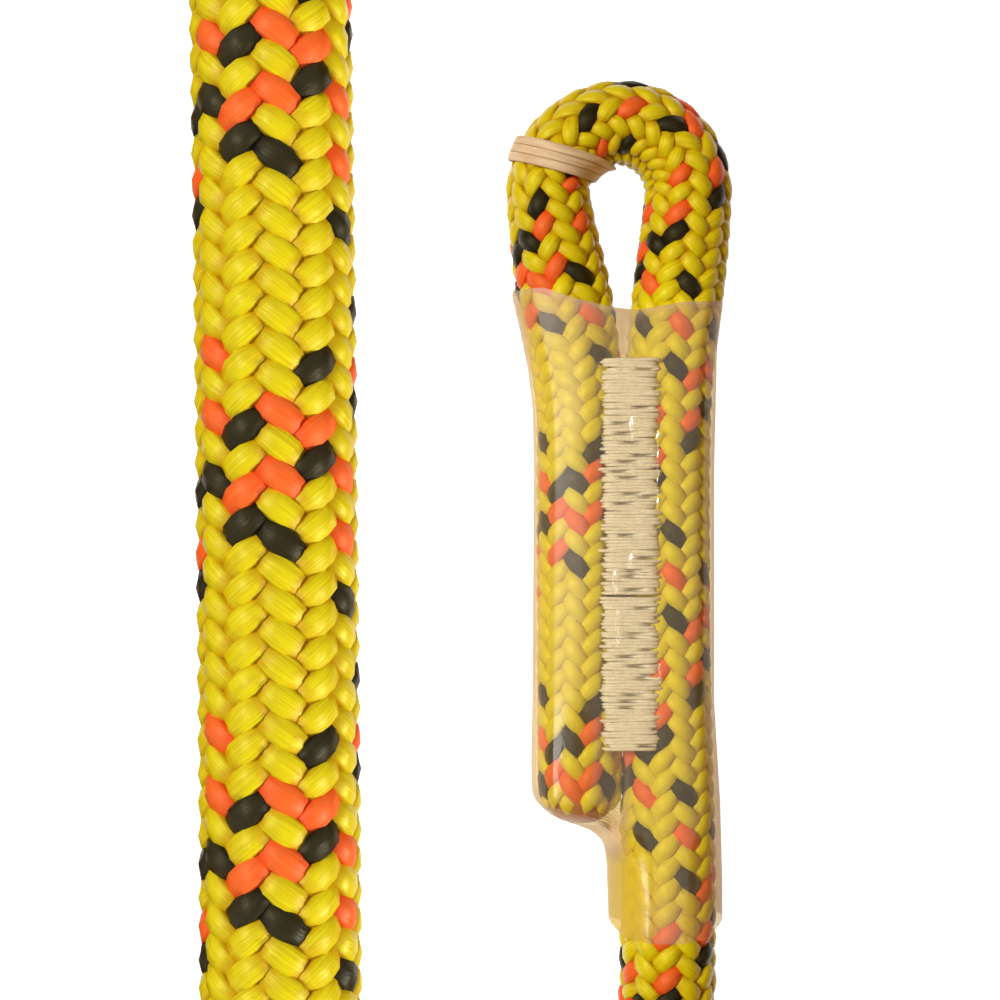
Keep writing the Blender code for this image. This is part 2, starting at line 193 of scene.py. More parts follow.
def lengths_along(points):
    steps = np.linalg.norm(np.diff(points, axis=0), axis=1)
    return np.concatenate([[0.0], np.cumsum(steps)])


def even_line(points, step):
    travelled = lengths_along(points)
    count = int(round(travelled[-1] / step))
    places = np.linspace(0, travelled[-1], count + 1)
    return np.stack([np.interp(places, travelled, points[:, axis]) for axis in range(3)], axis=1)


free_line = smooth_line(STANDING_ROUTE + coil_route() + CROSSING_ROUTE)
free_length = lengths_along(free_line)[-1]
print("free rope:", round(free_length), "mm")

# %% [markdown]
# ## Colours and shader nodes
# Colours are written as sRGB hex, as a picture editor shows them, and turned
# to the linear values that a shader works with.

# %% Helpers for materials


def linear(hex_colour):
    values = [int(hex_colour[i : i + 2], 16) / 255 for i in (1, 3, 5)]
    turned = [v / 12.92 if v <= 0.04045 else ((v + 0.055) / 1.055) ** 2.4 for v in values]
    return (*turned, 1.0)


def new_material(name, **settings):
    """A Principled material, its tree and its shader. Settings go on the shader's own sockets."""
    material = bpy.data.materials.new(name)
    material.use_nodes = True
    tree = material.node_tree
    shader = tree.nodes["Principled BSDF"]
    for socket, value in settings.items():
        shader.inputs[socket.replace("_", " ")].default_value = value
    return material, tree, shader


def add_node(tree, kind, inputs=None, **settings):
    """A node with its settings. A socket in inputs takes a value or another node's output."""
    node = tree.nodes.new("ShaderNode" + kind)
    for name, value in settings.items():
        setattr(node, name, value)
    for socket, value in (inputs or {}).items():
        if isinstance(value, bpy.types.NodeSocket):
            tree.links.new(value, node.inputs[socket])
        else:
            node.inputs[socket].default_value = value
    return node


def mottle(tree, shader, place, dark, light, noise, ends=(0.0, 1.0)):
    """Lets the shader's colour drift between dark and light, by a noise at the given places."""
    tone = add_node(tree, "TexNoise", {"Vector": place, **noise}).outputs["Fac"]
    colour = add_node(tree, "ValToRGB", {"Fac": tone})
    for element, position, hex_colour in zip(colour.color_ramp.elements, ends, (dark, light)):
        element.position = position
        element.color = linear(hex_colour)
    tree.links.new(colour.outputs["Color"], shader.inputs["Base Color"])


# %% [markdown]
# ## Nylon filament
# Each strand is a flat bundle of hundreds of fine filaments that run along it.
# They show as thin lines in its gloss and colour. The pattern follows the
# strand, so it reads the strand's own UV map, which is in millimetres. Where a
# strand dives under the next, its colour is painted deeper and more golden,
# which is painted shade: the lift attribute says how far up in the braid each
# point lies, from 0 to 1, and the lower it lies, the more painted shade it gets.
# Under the sleeve the lift is raised, so the colour there is painted lighter and
# more even: painted light for light spreading under the film, and in part the
# adhesive soaking the strands. A real filament is about 0.03 mm thick, too fine
# to show, so the lines are drawn 0.1 mm wide and 3 mm long. On the coil one wide
# face stands for a strand, so the nylon there has the same colours, with the same
# painted shade between its bumps, and a duller gloss.

# %% Nylon filament
LINES_PER_MM = (0.3, 10.0, 1.0)
LINE_RELIEF = 0.12


def filament_material(name, light, dark, painted_dive_shade, roughness, gloss):
    material, tree, shader = new_material(name, Roughness=roughness, IOR=1.53)
    shader.inputs["Specular Tint"].default_value = linear(gloss)
    place = add_node(tree, "TexCoord").outputs["UV"]
    stretched = add_node(
        tree, "Mapping", {"Vector": place, "Scale": LINES_PER_MM}
    ).outputs["Vector"]
    lines = add_node(
        tree, "TexNoise", {"Vector": stretched, "Scale": 1.0, "Detail": 3.0, "Roughness": 0.6}
    ).outputs["Fac"]
    tone = add_node(
        tree,
        "MapRange",
        {"Value": lines, "From Min": 0.35, "From Max": 0.65, "To Min": 0.68, "To Max": 1.0},
    ).outputs["Result"]
    # Painted shade: the lower a point lies in the braid, the nearer its colour goes to the deep
    # golden colour of a diving strand.
    lift = add_node(tree, "Attribute", attribute_name="lift").outputs["Fac"]
    lit = add_node(tree, "Math", {0: tone, 1: lift}, operation="MULTIPLY").outputs[0]
    colour = add_node(tree, "ValToRGB", {"Fac": lit})
    ramp = colour.color_ramp
    ramp.elements[0].color = linear(painted_dive_shade)
    ramp.elements[1].color = linear(light)
    ramp.elements.new(0.6).color = linear(dark)
    tree.links.new(colour.outputs["Color"], shader.inputs["Base Color"])
    relief = {"Height": lines, "Strength": 0.5, "Distance": LINE_RELIEF * MM}
    bump = add_node(tree, "Bump", relief)
    tree.links.new(bump.outputs["Normal"], shader.inputs["Normal"])
    return material


# For each nylon: the light and dark tones of its filament lines, the painted shade of a diving
# strand, its roughness and its gloss tint.
NYLON_COLOURS = {
    "yellow": ("#f3e212", "#d6b008", "#c07c06", 0.34, "#fff090"),
    "orange": ("#ff742c", "#fc5a1c", "#b8360e", 0.42, "#ffc8a0"),
    "black": ("#2c2612", "#1c180b", "#0a0804", 0.36, "#9a9070"),
}
NET_ROUGHNESS = 0.62
STRAND_MATERIALS = [
    filament_material(f"{name} nylon filament", *looks) for name, looks in NYLON_COLOURS.items()
]
NET_MATERIALS = [
    filament_material(f"{name} nylon braid", light, dark, painted_dive_shade, NET_ROUGHNESS, gloss)
    for name, (light, dark, painted_dive_shade, _, gloss) in NYLON_COLOURS.items()
]

# %% [markdown]
# ## Bending a straight braid along a line
# The braid is worked out on a straight rope first: across, up and along. A
# frame that travels along the rope's line then carries each point to its
# place, so bends squeeze the braid on their inside as on a real rope.

# %% Carry a straight rope along a line


class Line:
    """A line in space with a sideways and an upward direction at each point."""

    def __init__(self, points):
        self.points = points
        self.along = lengths_along(points)
        heading = np.gradient(points, axis=0)
        side = np.cross(heading, (0, 0, 1.0))
        self.side = side / np.linalg.norm(side, axis=1, keepdims=True)
        up = np.cross(self.side, heading)
        self.up = up / np.linalg.norm(up, axis=1, keepdims=True)

    def at(self, table, places):
        return np.stack([np.interp(places, self.along, table[:, axis]) for axis in range(3)], axis=-1)

    def carry(self, across, up, places):
        return (
            self.at(self.points, places)
            + across[..., None] * self.at(self.side, places)
            + up[..., None] * self.at(self.up, places)
        )


# %% [markdown]
# ## Rolling up a net
# Every round piece below starts as a flat grid. A function says where each of
# its points goes: along the piece by its share, and round it by its turn.

# %% Flat nets
MERGE_DISTANCE = 0.002


def flat_net(rings, sides):
    """A flat grid, rings long and sides wide, with its two shares as UVs."""
    bm = bmesh.new()
    bm.loops.layers.uv.new("UVMap")
    bmesh.ops.create_grid(bm, x_segments=rings, y_segments=sides, size=0.5, calc_uvs=True)
    mesh = bpy.data.meshes.new("net")
    bm.to_mesh(mesh)
    bm.free()
    return mesh


def read_all(items, attribute, width):
    values = np.empty(len(items) * width)
    items.foreach_get(attribute, values)
    return values.reshape(-1, width)


def net_places(net):
    """Each point's share along the net and its turn round it, in radians."""
    flat = read_all(net.vertices, "co", 3)
    return flat[:, 0] + 0.5, (flat[:, 1] + 0.5) * 2 * math.pi


def face_places(net):
    """Each face's share along the net and its turn round it, in radians."""
    flat = read_all(net.polygons, "center", 3)
    return flat[:, 0] + 0.5, (flat[:, 1] + 0.5) * 2 * math.pi


def roll_up(bm, net, laid, colour, uv_size, uv_shift=0.0, lift=None):
    """Adds a copy of the net to bm, at the laid points. Those and uv_size are in millimetres."""
    mesh = net.copy()
    if lift is not None:
        mesh.attributes.new("lift", "FLOAT", "POINT").data.foreach_set("value", lift)
    mesh.vertices.foreach_set("co", (laid * MM).ravel())
    colours = np.broadcast_to(np.asarray(colour, dtype=np.int32), len(mesh.polygons))
    mesh.polygons.foreach_set("material_index", colours.copy())
    uv = mesh.uv_layers["UVMap"].data
    scaled = read_all(uv, "uv", 2) * uv_size + (uv_shift, 0.0)
    uv.foreach_set("uv", scaled.ravel())
    bm.from_mesh(mesh)
    bpy.data.meshes.remove(mesh)


def finish_piece(name, bm, materials, body=ROPE_BODY, replaced=()):
    """Joins the seams, makes the object, hangs it on its body's empty, and hides the frame's parts
    that it replaces.
    """
    bmesh.ops.remove_doubles(bm, verts=bm.verts, dist=MERGE_DISTANCE * MM)
    mesh = bpy.data.meshes.new(name)
    bm.to_mesh(mesh)
    bm.free()
    for material in materials:
        mesh.materials.append(material)
    mesh.shade_smooth()
    piece = bpy.data.objects.new(name, mesh)
    bpy.context.collection.objects.link(piece)
    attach(piece, body)
    if replaced:
        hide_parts(*replaced)
    triangles = sum(len(face.vertices) - 2 for face in mesh.polygons)
    print(name, "triangles:", triangles)
    return piece


# %% [markdown]
# ## The braid
# Twelve strands climb one way round and twelve the other. Seen along the
# rope they make twelve columns: in every other column the strands of one way
# lie on top, so a strand rises over a column and dives under the next. A pick
# is the step from one strand to the next, and a lay says for each place on the
# rope how many picks have gone by, how far the columns are turned, how wide and
# high the rope is, and how far it is soaked with adhesive and painted lighter,
# as painted light, under the sleeve.

# %% Braided strands
STRAND_HALF_WIDTH = 1.1
STRAND_HALF_THICK = 0.5
STRAND_ROUNDING = 0.62
STRAND_PINCH = 0.2
STRAND_CROWNING = 0.1
STRAND_END_LENGTH = 0.4
STRAND_SIDES = 8
RINGS_A_WAVE = 7
BRAID_MID_RADIUS = 4.95
BRAID_RISE = 0.58
BRAID_DIVE = 0.8
# Heights above the braid's middle over which the lift goes from 0 to 1; the lower it is, the more
# painted shade the strand gets.
LIFT_FROM = 0.1
LIFT_TO = 0.78
# Under the sleeve the lift is raised towards the first of these, by the second share: painted light
# that makes the strands lighter and more even, and in part the adhesive soaking them.
SOAKED_AND_LIT_LIFT = 1.3
SOAKED_AND_LIT_SHARE = 0.75
FREE_TURN = math.radians(-10.5)
WAVES = STRANDS_EACH_WAY // 2
COLUMN_ANGLE = math.pi / WAVES
UV_SHIFT_A_PICK = 13.7
YELLOW_STRAND, ORANGE_STRAND, BLACK_STRAND = 0, 1, 2


def free_lay(place):
    """The lay of the free rope: even picks, an even turn, its full size, dry and without the painted
    lightening of the sleeve.
    """
    one = np.ones_like(place)
    return place / PICK, FREE_TURN * one, one, one, 0 * one


def rounded(value):
    """Squares off a sine wave, which makes an oval into a flat, full bundle."""
    return np.sign(value) * np.abs(value) ** STRAND_ROUNDING


def strand_points(share, turn, way, pick, start, end, lay):
    """One strand on a straight rope, and its lift, which sets the strand's painted shade. way is 1
    where it turns from right to left as it goes on. pick is where the strand faces straight up,
    counted in picks."""
    place = start + (end - start) * share
    picks, twist, wide, high, soaked_and_lit = lay(place)
    angle = math.pi / 2 + way * COLUMN_ANGLE * (picks - pick)
    wave = -way * np.cos(WAVES * angle)
    wave = wave * np.sqrt((1 + BRAID_DIVE) / (wave * wave + BRAID_DIVE))
    radius = BRAID_MID_RADIUS + BRAID_RISE * wave
    climb = math.atan2(BRAID_TURN, 2 * math.pi * BRAID_MID_RADIUS)
    from_end = np.minimum(share, 1 - share) * (end - start)
    closing = np.clip(from_end / STRAND_END_LENGTH, 0, 1)
    pinch = 1 - STRAND_PINCH * (1 - np.clip(wave, 0, 1))
    across = STRAND_HALF_WIDTH * rounded(np.cos(turn)) * closing * pinch
    thick = STRAND_HALF_THICK * rounded(np.sin(turn)) * closing
    angle = angle + twist - way * across * math.sin(climb) / BRAID_MID_RADIUS
    place = place + across * math.cos(climb)
    radius = radius + thick - STRAND_CROWNING * across * across
    # The lift sets the strand's painted shade; under the sleeve it is raised, which paints the strand
    # lighter.
    lift = np.clip((radius - BRAID_MID_RADIUS - LIFT_FROM) / (LIFT_TO - LIFT_FROM), 0, 1)
    lift = lift + SOAKED_AND_LIT_SHARE * soaked_and_lit * (SOAKED_AND_LIT_LIFT - lift)
    return (radius * np.cos(angle) * wide, radius * np.sin(angle) * high, place), lift


def braid(name, line, start, end, lay, falling, rising):
    """A stretch of sheath. falling and rising each give the pick of their first strand and the
    twelve strands' colours, in the order in which the rope runs."""
    net = flat_net(int((end - start) / BRAID_TURN * WAVES * RINGS_A_WAVE), STRAND_SIDES)
    share, turn = net_places(net)
    uv_size = (end - start, 4 * (STRAND_HALF_WIDTH + STRAND_HALF_THICK))
    bm = bmesh.new()
    for way, (first_pick, colours) in ((1, falling), (-1, rising)):
        for index, colour in enumerate(colours):
            pick = first_pick + index
            points, lift = strand_points(share, turn, way, pick, start, end, lay)
            uv_shift = UV_SHIFT_A_PICK * pick * way
            roll_up(bm, net, line.carry(*points), colour, uv_size, uv_shift, lift)
    bpy.data.meshes.remove(net)
    return finish_piece(name, bm, STRAND_MATERIALS)


# %% [markdown]
# ## The free rope as one cord
# One tube runs along the whole line. It is the rope's body under the braid,
# and it says how long and how thick the free rope is.

# %% The cord
CORD_SIDES = 12
CORD_RADIUS = 4.7
CORD_STEP = 4.0
CORD_END_LENGTH = 1.0


def make_cord():
    points = even_line(free_line, CORD_STEP)
    line = Line(points)
    net = flat_net(len(points) - 1, CORD_SIDES)
    share, turn = net_places(net)
    place = share * line.along[-1]
    closing = np.clip(np.minimum(place, line.along[-1] - place) / CORD_END_LENGTH, 0, 1)
    radius = CORD_RADIUS * closing
    laid = line.carry(radius * np.cos(turn), radius * np.sin(turn), place)
    bm = bmesh.new()
    roll_up(bm, net, laid, 0, uv_size=(1.0, 1.0))
    bpy.data.meshes.remove(net)
    replaced = ("standing_part", "spare_coil", "crossing_strand")
    piece = finish_piece("free_rope", bm, NET_MATERIALS[:1], replaced=replaced)


make_cord()

# %% [markdown]
# ## Floor and light
# A white table under four lamps: the key at the upper left, one beside it that
# makes the streaks in the film, a small strong one low on the right, and a broad
# weak one above. The low one lights the coil and the strand over it, and the
# coil's wall keeps it off the eye. The photograph's background is pure white, so
# the table glows and the sky is white, but only for rays from the camera, off
# glossy faces and through clear film. For all others the table is matt and the
# sky is dim.

# %% Floor and light
FLOOR_SIZE = 4.0
FLOOR_GLOW = 1.0
LAMPS = {
    "key": ((-0.65, 0.25, 0.92), 0.2, 0.2, 7.4),
    "streak": ((-0.62, -0.12, 0.85), 0.5, 0.22, 1.7),
    "side": ((0.95, -0.6, 0.33), 0.25, 0.25, 13.0),
    "top": ((0.1, 0.55, 1.15), 0.6, 0.6, 1.1),
}
SKY_STRENGTH = 0.11


def seen_directly(tree):
    """1 for rays from the camera, from mirrors and through glass, and 0 for all others."""
    ray = add_node(tree, "LightPath").outputs
    seen = ray["Is Camera Ray"]
    for kind in ("Is Glossy Ray", "Is Transmission Ray"):
        seen = add_node(tree, "Math", {0: seen, 1: ray[kind]}, operation="MAXIMUM").outputs[0]
    return seen


def make_floor_material():
    material, tree, shader = new_material("white table", Roughness=0.9)
    shader.inputs["Base Color"].default_value = linear("#e8e8e8")
    shader.inputs["Specular IOR Level"].default_value = 0.0
    shader.inputs["Emission Color"].default_value = linear("#ffffff")
    glow = add_node(
        tree, "Math", {0: seen_directly(tree), 1: FLOOR_GLOW}, operation="MULTIPLY"
    ).outputs[0]
    tree.links.new(glow, shader.inputs["Emission Strength"])
    return material


def make_floor():
    bm = bmesh.new()
    bmesh.ops.create_grid(bm, x_segments=1, y_segments=1, size=FLOOR_SIZE / 2)
    mesh = bpy.data.meshes.new("floor")
    bm.to_mesh(mesh)
    bm.free()
    mesh.materials.append(make_floor_material())
    floor = bpy.data.objects.new("floor", mesh)
    bpy.context.collection.objects.link(floor)


def add_lamp(name, place, length, width, power):
    data = bpy.data.lights.new(name, "AREA")
    data.shape = "ELLIPSE"
    data.size = length
    data.size_y = width
    data.energy = power
    lamp = bpy.data.objects.new(name, data)
    lamp.location = place
    lamp.rotation_euler = (-Vector(place)).to_track_quat("-Z", "Y").to_euler()
    bpy.context.collection.objects.link(lamp)


make_floor()
for name, lamp in LAMPS.items():
    add_lamp(name, *lamp)


def make_world():
    """An even dim sky that looks white."""
    world = bpy.data.worlds.new("studio")
    world.use_nodes = True
    tree = world.node_tree
    sky = tree.nodes["Background"]
    sky.inputs["Color"].default_value = linear("#ffffff")
    strength = add_node(
        tree,
        "Math",
        {0: seen_directly(tree), 1: 1 - SKY_STRENGTH, 2: SKY_STRENGTH},
        operation="MULTIPLY_ADD",
    ).outputs[0]
    tree.links.new(strength, sky.inputs["Strength"])
    bpy.context.scene.world = world


make_world()
bpy.context.scene.view_settings.view_transform = "Standard"

# %% [markdown]
# ## The sheath of the free rope
# Where the rope passes close to the camera, every strand is modelled. On the
# coil a rolled net is enough: one bump for each place where a strand lies on
# top, in that strand's colour.

# %% The strand over the coil
NEAR_REACH = 167.0
CROSSING_X = -16.5
CROSSING_X_SPREAD = 2.0
PIXELS_PER_MM_AT_STRAND = 14.1
LOWEST_BLACK_PIXEL = 538
RISING_AFTER_FALLING = 1.5
free = Line(free_line)
on_crossing = np.abs(free_line[:, 0] - CROSSING_X) < CROSSING_X_SPREAD
middle_index = np.argmin(np.where(on_crossing, np.abs(free_line[:, 1]), np.inf))
near_middle = free.along[middle_index]
near_start = near_middle - NEAR_REACH
near_end = near_middle + NEAR_REACH
black_from_middle = (FRAME_PIXELS / 2 - LOWEST_BLACK_PIXEL) / PIXELS_PER_MM_AT_STRAND
first_pick = (near_middle + black_from_middle) / PICK
PLAIN = [YELLOW_STRAND]
FREE_FALLING = (
    first_pick,
    [BLACK_STRAND, YELLOW_STRAND, ORANGE_STRAND, YELLOW_STRAND, ORANGE_STRAND] + 7 * PLAIN,
)
FREE_RISING = (
    first_pick + RISING_AFTER_FALLING,
    [BLACK_STRAND, ORANGE_STRAND, YELLOW_STRAND, BLACK_STRAND] + 8 * PLAIN,
)
print("the crossing's middle is at", round(near_middle), "mm of", round(free_length))
braid("crossing_sheath", free, near_start, near_end, free_lay, FREE_FALLING, FREE_RISING)

# %% The sheath as a rolled net
EYE_BRAID_PAST_SLEEVE = 9.0
NET_SIDES = 24
NET_LOW_RADIUS = 5.3
NET_HIGH_RADIUS = 6.0
NET_VALLEY = 0.25
NET_COLUMN_EDGE = 0.2
# The least lift on the coil's net, which sets how deep the painted shade between its bumps goes.
NET_LOWEST_LIFT = 0.3
COLUMN_DEGREES = 30
ZIGZAG_FROM = 75
TOP_COLUMN = 3


def net_stretch(name, start, end):
    """Sheath from start to end. Two rings make a pick, and they zigzag, so that a face runs with
    its strand."""
    first = round(start / PICK - first_pick)
    count = 2 * int((end - start) / PICK - 1)
    net = flat_net(count, NET_SIDES)
    share, turn = net_places(net)
    ring = np.rint(share * count)
    degrees = np.degrees(turn) - ZIGZAG_FROM
    zigzag = 1 - np.abs((degrees % (2 * COLUMN_DEGREES)) / COLUMN_DEGREES - 1)
    place = (first_pick + first + ring / 2 + zigzag) * PICK
    wave = np.cos(WAVES * turn)
    in_column = np.abs(wave)
    crest = np.where(wave < 0, ring % 2, 1 - ring % 2)
    bulge = (NET_VALLEY + (1 - NET_VALLEY) * crest * in_column) * (in_column + NET_COLUMN_EDGE)
    bulge = bulge / (1 + NET_COLUMN_EDGE)
    radius = NET_LOW_RADIUS + (NET_HIGH_RADIUS - NET_LOW_RADIUS) * bulge
    face_share, face_turn = face_places(net)
    row = np.rint(face_share * count - 0.5).astype(int)
    column = np.rint(face_turn / COLUMN_ANGLE).astype(int)
    falls = column % 2 == 1
    falling_strand = first + row // 2 + 1 - (column - TOP_COLUMN)
    rising_strand = first + (row + 1) // 2 - 1 + (column - TOP_COLUMN)
    falling_colour = np.array(FREE_FALLING[1])[falling_strand % STRANDS_EACH_WAY]
    rising_colour = np.array(FREE_RISING[1])[rising_strand % STRANDS_EACH_WAY]
    turned = turn + FREE_TURN
    laid = free.carry(radius * np.cos(turned), radius * np.sin(turned), place)
    uv_size = (end - start, 2 * math.pi * NET_HIGH_RADIUS)
    colours = np.where(falls, falling_colour, rising_colour)
    # Painted shade: the valleys between the bumps get the deeper golden colour of a diving strand.
    lift = NET_LOWEST_LIFT + (1 - NET_LOWEST_LIFT) * bulge
    bm = bmesh.new()
    roll_up(bm, net, laid, colours, uv_size, lift=lift)
    bpy.data.meshes.remove(net)
    finish_piece(name, bm, NET_MATERIALS)


standing_line = smooth_line(STANDING_ROUTE)
coil_start = lengths_along(standing_line)[-1]
coil_end = free_length - lengths_along(smooth_line(CROSSING_ROUTE))[-1]
layer_length = (coil_end - coil_start) / COIL_LAYERS
overlap = 2 * PICK
for layer in range(COIL_LAYERS):
    layer_start = coil_start + layer * layer_length
    net_stretch(f"coil_layer_{layer + 1}", layer_start, layer_start + layer_length + overlap)
net_stretch("standing_sheath", EYE_BRAID_PAST_SLEEVE, coil_start + overlap)
net_stretch("climbing_sheath", coil_end, near_start + overlap)
net_stretch("free_end_sheath", near_end - PICK, free_length)

# %% [markdown]
# ## The eye
# The same braid runs up the short leg, round the crown and down the long leg.
# It is squeezed by the bend and the stitching, so its picks are longer, and its
# columns turn slowly as it goes. Both were read from where the orange and
# black strands come to the top along the real eye.

# %% The eye's line and lay
EYE_START_Y = SHORT_LEG_END_Y - 6.0
EYE_DOME = 5.2
EYE_DOME_FROM = 7.0
EYE_DOME_TIP = 0.01
EYE_STRANDS_START = 2.4
EYE_STEP = 0.25
CROWN_STEPS = 48
LEG_PULL = 0.385
SOFTENED_OVER = (-5, -2.5, 0, 2.5, 5)
EYE_PICKS = [
    (-24, -8), (6, 2), (33, 12), (43, 16), (62.5, 24), (93.8, 36), (118, 46), (153.4, 60),
    (185, 72), (216.6, 84),
]
EYE_TURN = [
    (-20, 20), (6, 17), (32, 8), (43, 8), (53, 16), (62, 27), (72, 42), (94, 75), (118, 70),
    (127, 62), (156, 64), (185, 83), (200, 84),
]
EYE_HALF_WIDTH = [
    (0, 5.4), (44, 5.42), (52, 5.45), (57, 5.6), (62, 6.0), (67, 6.0), (70.5, 5.85), (73, 5.6),
    (78, 5.25), (85, 5.05), (92.6, 5.1), (100, 5.35), (107, 5.5), (112, 5.65), (115, 5.85),
    (118, 5.85), (126, 5.55), (141, 5.35), (160, 5.35), (188, 6.0),
]
EYE_HALF_HEIGHT = [(0, 5.6), (180, 5.6), (190, 6.0)]
# Where the eye lies under the sleeve, painted lighter and more even: painted light, and in part the
# adhesive soaking the strands.
EYE_SOAKED_AND_LIT = [(0, 1), (62, 1), (66, 0), (118, 0), (122, 1), (196, 1), (199, 0)]


def leg_to_crown(leg_x, joint, heading):
    low = Vector((leg_x, LEG_TOP_Y, EYE_Z))
    pull = (joint.y - LEG_TOP_Y) * LEG_PULL
    leave = low + Vector((0, pull, 0))
    return interpolate_bezier(low, leave, joint - pull * heading, joint, CURVE_POINTS)


def eye_route():
    first, last = (math.radians(angle) for angle in CROWN_ENDS)
    crown = []
    for index in range(CROWN_STEPS + 1):
        angle = first + (last - first) * index / CROWN_STEPS
        crown.append(CROWN_CENTRE + CROWN_RADIUS * Vector((math.cos(angle), math.sin(angle), 0)))
    up = Vector((math.sin(first), -math.cos(first), 0))
    left = leg_to_crown(SHORT_LEG_X, crown[0], up)
    down = Vector((-math.sin(last), math.cos(last), 0))
    right = leg_to_crown(LONG_LEG_X, crown[-1], down)
    start = Vector((SHORT_LEG_X, EYE_START_Y, EYE_Z))
    route = [start, *left[:-1], *crown, *right[::-1][1:]]
    return [tuple(point) for point in route]


def gentle(knots, places):
    """Values between the knots, with the corners at the knots rounded off."""
    at, values = np.array(knots, dtype=float).T
    shifted = [np.interp(places + shift, at, values) for shift in SOFTENED_OVER]
    return np.mean(shifted, axis=0)


def eye_lay(place):
    """Picks, turn and size along the eye. The short end closes to a dome."""
    into_dome = np.clip(EYE_DOME_FROM - place, 0, None) / EYE_DOME
    dome = np.cbrt(np.clip(1 - into_dome**3, EYE_DOME_TIP, 1))
    wide = gentle(EYE_HALF_WIDTH, place) / (ROPE_DIAMETER / 2) * dome
    high = gentle(EYE_HALF_HEIGHT, place) / (ROPE_DIAMETER / 2) * dome
    twist = np.radians(gentle(EYE_TURN, place))
    return gentle(EYE_PICKS, place), twist, wide, high, gentle(EYE_SOAKED_AND_LIT, place)


EYE_FALLING = (
    0.0,
    [BLACK_STRAND, YELLOW_STRAND, ORANGE_STRAND, YELLOW_STRAND, BLACK_STRAND] + 7 * PLAIN,
)
EYE_RISING = (
    RISING_AFTER_FALLING,
    [ORANGE_STRAND, YELLOW_STRAND, ORANGE_STRAND, BLACK_STRAND] + 8 * PLAIN,
)
eye_points = np.array(eye_route() + [tuple(point) for point in standing_line])
eye = Line(even_line(eye_points, EYE_STEP))
print("the line of the eye and the standing part:", round(eye.along[-1]), "mm")
braid_end = eye.along[-1] - coil_start + EYE_BRAID_PAST_SLEEVE
eye_sheath = braid("eye_braid", eye, EYE_STRANDS_START, braid_end, eye_lay, EYE_FALLING, EYE_RISING)
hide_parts("eye_sheath")

# %% [markdown]
# ## Stitching
# Two blocks of off-white thread cross the seam between the legs, on the front
# and on the back. Each stitch is a thread of its own, and the ends are ragged.
# Some threads lie deeper for part of their way, so the rope shows between them.

# %% Stitching
THREAD_PITCH = 0.385
THREAD_RADIUS = 0.225
THREAD_RINGS = 20
THREAD_SIDES = 6
THREAD_RAGGED = 0.25
THREAD_LEAN = 0.07
THREAD_UNEVEN = 0.04
THREAD_EDGE_DROP = 0.75
THREAD_EDGE_POWER = 6
THREAD_END_POWER = 20
SUNK_THREADS = 0.24
SUNK_DEPTH = 0.95
SUNK_HALF_WIDTH = 0.24
SUNK_PLACES = (0.3, 0.9)
STITCH_X = 15.75
STITCH_HALF_WIDTH = 3.55
STITCH_BLOCKS = {"upper": (17.1, -11.3), "lower": (-11.7, -30.0)}
STITCH_HEIGHT = 5.72
rng = np.random.default_rng(12)


def soft_steps(values):
    values = np.clip(values, 0, 1)
    return values * values * (3 - 2 * values)


def make_thread_material():
    material, tree, shader = new_material("off-white polyester thread", Roughness=0.5)
    place = add_node(tree, "TexCoord").outputs["UV"]
    noise = {"Scale": 2.2, "Detail": 2.0, "Roughness": 0.6}
    mottle(tree, shader, place, "#efe4da", "#fffaf8", noise, ends=(0.3, 0.7))
    return material


THREAD = make_thread_material()


def stitch_block(name, top, bottom, side, node):
    net = flat_net(THREAD_RINGS, THREAD_SIDES)
    share, turn = net_places(net)
    bm = bmesh.new()
    for index in range(round((top - bottom) / THREAD_PITCH)):
        left = -STITCH_HALF_WIDTH + rng.normal(0, THREAD_RAGGED)
        right = STITCH_HALF_WIDTH + rng.normal(0, THREAD_RAGGED)
        across = left + (right - left) * share
        lean = rng.normal(0, THREAD_LEAN)
        edge = np.abs(2 * share - 1) ** THREAD_EDGE_POWER
        closing = 1 - np.abs(2 * share - 1) ** THREAD_END_POWER
        height = STITCH_HEIGHT + rng.normal(0, THREAD_UNEVEN) - THREAD_EDGE_DROP * edge
        if rng.random() < SUNK_THREADS:
            from_deepest = np.abs(share - rng.uniform(*SUNK_PLACES))
            height = height - SUNK_DEPTH * soft_steps(1 - from_deepest / SUNK_HALF_WIDTH)
        along = top - (index + 0.5) * THREAD_PITCH + lean * (2 * share - 1)
        x = STITCH_X + across
        y = along + THREAD_RADIUS * np.cos(turn) * closing
        z = EYE_Z + side * (height + THREAD_RADIUS * np.sin(turn) * closing)
        laid = np.stack([x, y, z], axis=1)
        roll_up(bm, net, laid, 0, uv_size=(7.0, 1.3), uv_shift=11.3 * index)
    bpy.data.meshes.remove(net)
    finish_piece(name, bm, [THREAD], replaced=(node,))


for block, (top, bottom) in STITCH_BLOCKS.items():
    for face_name, side in (("front", 1), ("back", -1)):
        piece_name = f"{block}_threads_{face_name}"
        stitch_block(piece_name, top, bottom, side, f"{block}_stitching_{face_name}")

# %% [markdown]
# ## Heat-shrink sleeve
# A clear amber film over both legs, one thin skin. Its mouth dips in the middle
# and it sags a little over the stitching, where a few thin creases stand up, as
# in shrunk film. Where it lies on the rope it is nearly clear. Where it stands
# off the rope, as an attribute on its points says, it is hazier, and its tint
# there is browner: that brown is painted shade, for shadow behind the film. It is
# also hazier where one looks along its surface. The filled attribute says where
# adhesive fills it, at its foot on the left, and the dull attribute where its
# gloss is spread, over the upper part of the short leg. Lamps shine through it,
# as through a clear film.

